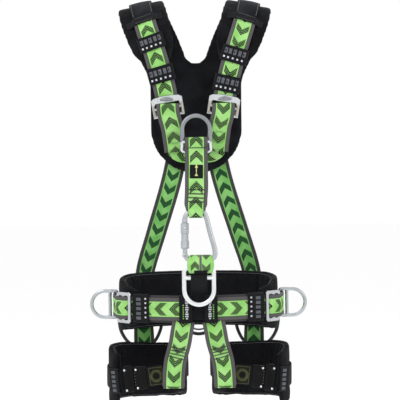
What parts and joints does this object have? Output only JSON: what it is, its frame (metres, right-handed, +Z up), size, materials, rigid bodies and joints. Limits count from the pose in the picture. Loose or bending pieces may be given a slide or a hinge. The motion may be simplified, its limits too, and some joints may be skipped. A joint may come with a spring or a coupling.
{
  "type": "tree climbing saddle",
  "caption": "Full-body climbing saddle of padded yoke, belt and leg loops, green webbing, attachment rings, a carabiner at the chest and quick buckles.",
  "frame": {"origin": "centre of the waist opening, at the belt's mid height", "axes": "+Z up along the wearer's back, +X to the wearer's left, -Y to the wearer's front"},
  "size_m": [0.456, 0.2762, 0.8478],
  "materials": {
    "green_webbing": "woven polyester webbing, lime with grey edges",
    "black_webbing": "woven polyester webbing",
    "padding": "foam under brushed knit",
    "cover_fabric": "plain weave cover",
    "elastic": "ribbed elastic",
    "aluminium": "satin anodised",
    "steel": "zinc plated",
    "buckle_plastic": "black coated",
    "guide_plate": "moulded",
    "rubber_cord": "rubber covered"
  },
  "bodies": {
    "root": {"back_yoke_pad": "padding", "dorsal_plate": "guide_plate", "sternal_strap": "green_webbing", "bridge_strap": "black_webbing", "waist_pad": "padding", "rear_gear_loop": "rubber_cord", "left_shoulder_sleeve": "cover_fabric", "left_shoulder_strap": "green_webbing", "left_chest_strap": "green_webbing", "left_back_strap": "green_webbing", "left_waist_strap": "green_webbing", "left_front_keeper": "elastic", "left_side_keeper": "elastic", "left_gear_loop": "rubber_cord", "right_shoulder_sleeve": "cover_fabric", "right_shoulder_strap": "green_webbing", "right_chest_strap": "green_webbing", "right_back_strap": "green_webbing", "right_waist_strap": "green_webbing", "right_front_keeper": "elastic", "right_side_keeper": "elastic", "right_gear_loop": "rubber_cord"},
    "sternal_ring": {"sternal_ring": "aluminium"},
    "dorsal_ring": {"dorsal_ring": "aluminium"},
    "ventral_ring": {"ventral_ring": "aluminium"},
    "carabiner_body": {"carabiner_body": "steel"},
    "ventral_link": {"ventral_link": "green_webbing"},
    "carabiner_gate": {"carabiner_gate": "steel"},
    "carabiner_sleeve": {"carabiner_sleeve": "steel"},
    "carabiner_lock_ball": {"carabiner_lock_ball": "steel"},
    "left_hip_ring": {"left_hip_ring": "steel"},
    "left_adjuster_frame": {"left_adjuster_frame": "aluminium"},
    "left_adjuster_bar": {"left_adjuster_bar": "steel"},
    "left_waist_buckle": {"left_waist_buckle": "steel"},
    "left_leg": {"left_leg_pad": "padding", "left_leg_band": "black_webbing", "left_leg_buckle_body": "buckle_plastic", "left_riser": "green_webbing", "left_rear_leg_strap": "green_webbing"},
    "left_leg_buckle_tongue": {"left_leg_buckle_tongue": "buckle_plastic", "left_tongue_strap": "black_webbing"},
    "left_upper_release_lever": {"left_upper_release_lever": "buckle_plastic"},
    "left_upper_shoulder_keeper": {"left_upper_shoulder_keeper": "elastic"},
    "left_lower_release_lever": {"left_lower_release_lever": "buckle_plastic"},
    "left_lower_shoulder_keeper": {"left_lower_shoulder_keeper": "elastic"},
    "right_hip_ring": {"right_hip_ring": "steel"},
    "right_adjuster_frame": {"right_adjuster_frame": "aluminium"},
    "right_adjuster_bar": {"right_adjuster_bar": "steel"},
    "right_waist_buckle": {"right_waist_buckle": "steel"},
    "right_leg": {"right_leg_pad": "padding", "right_leg_band": "black_webbing", "right_leg_buckle_body": "buckle_plastic", "right_riser": "green_webbing", "right_rear_leg_strap": "green_webbing"},
    "right_leg_buckle_tongue": {"right_leg_buckle_tongue": "buckle_plastic", "right_tongue_strap": "black_webbing"},
    "right_upper_release_lever": {"right_upper_release_lever": "buckle_plastic"},
    "right_upper_shoulder_keeper": {"right_upper_shoulder_keeper": "elastic"},
    "right_lower_release_lever": {"right_lower_release_lever": "buckle_plastic"},
    "right_lower_shoulder_keeper": {"right_lower_shoulder_keeper": "elastic"}
  },
  "joints": [
    {"name": "sternal_ring_swing", "type": "hinge", "parent": "root", "child": "sternal_ring", "pos_m": [0, -0.121, 0.331], "axis": [1, 0, 0], "range_deg": [-2, 18]},
    {"name": "dorsal_ring_swing", "type": "hinge", "parent": "root", "child": "dorsal_ring", "pos_m": [0, 0.1255, 0.45], "axis": [1, 0, 0], "range_deg": [0, 170]},
    {"name": "ventral_ring_swing", "type": "hinge", "parent": "root", "child": "ventral_ring", "pos_m": [0.002, -0.132, 0.0635], "axis": [-1, 0, 0], "range_deg": [0, 20]},
    {"name": "carabiner_swing", "type": "hinge", "parent": "root", "child": "carabiner_body", "pos_m": [0, -0.132, 0.196], "axis": [1, 0, 0], "range_deg": [0, 4]},
    {"name": "link_tilt", "type": "hinge", "parent": "carabiner_body", "child": "ventral_link", "pos_m": [0.005, -0.132, 0.0995], "axis": [-1, 0, 0], "range_deg": [0, 4]},
    {"name": "gate_hinge", "type": "hinge", "parent": "carabiner_body", "child": "carabiner_gate", "pos_m": [-0.0246, -0.132, 0.114], "axis": [0, 1, 0], "range_deg": [0, 25], "stiffness_Nm_per_rad": 0.2, "springref_deg": -17.19},
    {"name": "sleeve_turn", "type": "hinge", "parent": "carabiner_gate", "child": "carabiner_sleeve", "pos_m": [-0.0246, -0.132, 0.146], "axis": [0, 0, 1], "range_deg": [0, 90], "stiffness_Nm_per_rad": 0.03, "springref_deg": -17.19},
    {"name": "lock_ball_press", "type": "slide", "parent": "carabiner_sleeve", "child": "carabiner_lock_ball", "axis": [0, 1, 0], "range_m": [0, 0.001], "stiffness_N_per_m": 300, "springref_m": -0.002},
    {"name": "left_hip_ring_swing", "type": "hinge", "parent": "root", "child": "left_hip_ring", "pos_m": [0.1775, 0, 0], "axis": [0, 0, 1], "range_deg": [-40, 40]},
    {"name": "left_adjuster_tilt", "type": "hinge", "parent": "root", "child": "left_adjuster_frame", "pos_m": [0.055, -0.116, 0.399], "axis": [0.9877, 0, -0.1564], "range_deg": [0, 20]},
    {"name": "left_adjuster_bar_slide", "type": "slide", "parent": "left_adjuster_frame", "child": "left_adjuster_bar", "axis": [0.1564, 0, 0.9877], "range_m": [0, 0.002]},
    {"name": "left_waist_buckle_tilt", "type": "hinge", "parent": "root", "child": "left_waist_buckle", "pos_m": [0.1662, -0.0549, 0], "axis": [0, 0, 1], "range_deg": [0, 30]},
    {"name": "left_leg_swing", "type": "hinge", "parent": "root", "child": "left_leg", "pos_m": [0.03, -0.12, -0.029], "axis": [-0.3894, -0.9074, 0.1583], "range_deg": [-8, 7], "stiffness_Nm_per_rad": 1.5, "springref_deg": 2.29},
    {"name": "left_tongue_slide", "type": "slide", "parent": "left_leg", "child": "left_leg_buckle_tongue", "axis": [-0.9925, 0, 0.1219], "range_m": [0, 0.016]},
    {"name": "left_upper_lever_press", "type": "slide", "parent": "left_leg", "child": "left_upper_release_lever", "axis": [-0.1219, 0, -0.9925], "range_m": [0, 0.0025], "stiffness_N_per_m": 300, "springref_m": -0.002},
    {"name": "left_upper_keeper_slide", "type": "slide", "parent": "root", "child": "left_upper_shoulder_keeper", "axis": [0.2756, 0.1115, 0.9548], "range_m": [-0.01, 0.003]},
    {"name": "left_lower_lever_press", "type": "slide", "parent": "left_leg", "child": "left_lower_release_lever", "axis": [0.1219, 0, 0.9925], "range_m": [0, 0.0025], "stiffness_N_per_m": 300, "springref_m": -0.002},
    {"name": "left_lower_keeper_slide", "type": "slide", "parent": "root", "child": "left_lower_shoulder_keeper", "axis": [0.2276, -0.1112, 0.9674], "range_m": [-0.004, 0.002]},
    {"name": "right_hip_ring_swing", "type": "hinge", "parent": "root", "child": "right_hip_ring", "pos_m": [-0.1775, 0, 0], "axis": [0, 0, 1], "range_deg": [-40, 40]},
    {"name": "right_adjuster_tilt", "type": "hinge", "parent": "root", "child": "right_adjuster_frame", "pos_m": [-0.055, -0.116, 0.399], "axis": [0.9877, 0, 0.1564], "range_deg": [0, 20]},
    {"name": "right_adjuster_bar_slide", "type": "slide", "parent": "right_adjuster_frame", "child": "right_adjuster_bar", "axis": [-0.1564, 0, 0.9877], "range_m": [0, 0.002]},
    {"name": "right_waist_buckle_tilt", "type": "hinge", "parent": "root", "child": "right_waist_buckle", "pos_m": [-0.1662, -0.0549, 0], "axis": [0, 0, -1], "range_deg": [0, 30]},
    {"name": "right_leg_swing", "type": "hinge", "parent": "root", "child": "right_leg", "pos_m": [-0.03, -0.12, -0.029], "axis": [-0.3894, 0.9074, -0.1583], "range_deg": [-8, 7], "stiffness_Nm_per_rad": 1.5, "springref_deg": 2.29},
    {"name": "right_tongue_slide", "type": "slide", "parent": "right_leg", "child": "right_leg_buckle_tongue", "axis": [0.9925, 0, 0.1219], "range_m": [0, 0.016]},
    {"name": "right_upper_lever_press", "type": "slide", "parent": "right_leg", "child": "right_upper_release_lever", "axis": [0.1219, 0, -0.9925], "range_m": [0, 0.0025], "stiffness_N_per_m": 300, "springref_m": -0.002},
    {"name": "right_upper_keeper_slide", "type": "slide", "parent": "root", "child": "right_upper_shoulder_keeper", "axis": [-0.2952, 0.2817, 0.913], "range_m": [-0.005, 0.01]},
    {"name": "right_lower_lever_press", "type": "slide", "parent": "right_leg", "child": "right_lower_release_lever", "axis": [-0.1219, 0, 0.9925], "range_m": [0, 0.0025], "stiffness_N_per_m": 300, "springref_m": -0.002},
    {"name": "right_lower_keeper_slide", "type": "slide", "parent": "root", "child": "right_lower_shoulder_keeper", "axis": [-0.2547, 0.0115, 0.9669], "range_m": [-0.003, 0.01]}
  ],
  "couplings": [
    {"joint": "carabiner_swing", "follows": "ventral_ring_swing", "ratio": 0.2},
    {"joint": "link_tilt", "follows": "ventral_ring_swing", "ratio": 0.2}
  ]
}
